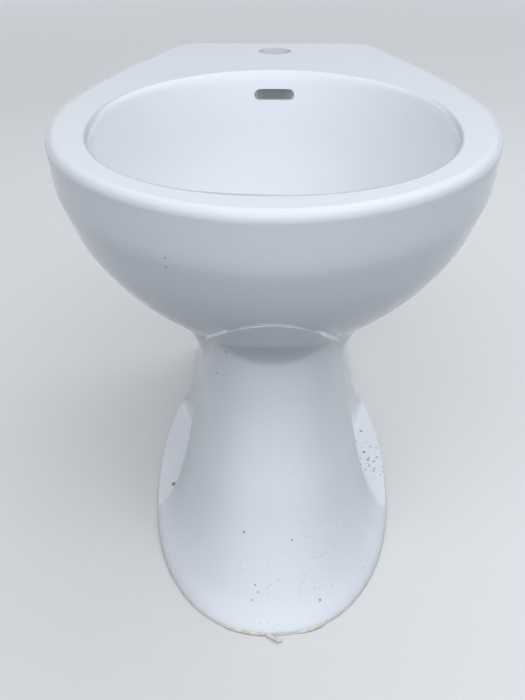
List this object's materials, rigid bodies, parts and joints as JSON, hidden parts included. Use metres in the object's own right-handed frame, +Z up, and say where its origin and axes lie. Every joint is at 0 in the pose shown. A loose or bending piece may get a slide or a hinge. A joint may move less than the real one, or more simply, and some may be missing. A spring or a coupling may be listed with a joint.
{
  "type": "bidet",
  "caption": "Floor-standing glazed china bidet on a flared pedestal, with a tap hole, overflow slot, push-plug waste and a bottle trap behind it.",
  "frame": {"origin": "middle of the length and the width, on the floor", "axes": "-Y to the front of the bidet, +Y to the wall behind it, +X to the right as seen from the front, +Z up"},
  "size_m": [0.3848, 0.5755, 0.39],
  "materials": {
    "china": "glossy glaze",
    "chrome": "polished",
    "brass": "turned",
    "spring_steel": "drawn wire",
    "rubber": "matte",
    "washer_plastic": "matte",
    "trap_plastic": "satin"
  },
  "bodies": {
    "fixed": {"bowl": "china", "pedestal": "china", "waste_body": "chrome", "waste_top_seal": "rubber", "waste_lower_seal": "rubber", "waste_washer": "washer_plastic", "waste_backnut": "brass", "plug_spring": "spring_steel", "latch_cartridge": "washer_plastic", "trap_inlet_nut": "trap_plastic", "trap_inlet_seal": "rubber", "trap_inlet_tube": "trap_plastic", "trap_slip_nut": "trap_plastic", "trap_slip_seal": "rubber", "trap_body": "trap_plastic", "trap_cup": "trap_plastic", "trap_cup_seal": "rubber", "trap_outlet_nut": "trap_plastic", "trap_outlet_seal": "rubber", "outlet_pipe": "trap_plastic"},
    "plug": {"plug_cap": "chrome", "plug_seal": "rubber", "plug_stem": "brass"}
  },
  "joints": [
    {"name": "plug_slide", "type": "slide", "parent": "fixed", "child": "plug", "axis": [0, 0, 1], "range_m": [-0.009, 0], "stiffness_N_per_m": 300, "springref_m": 0.012, "deforming": ["plug_spring"]}
  ]
}
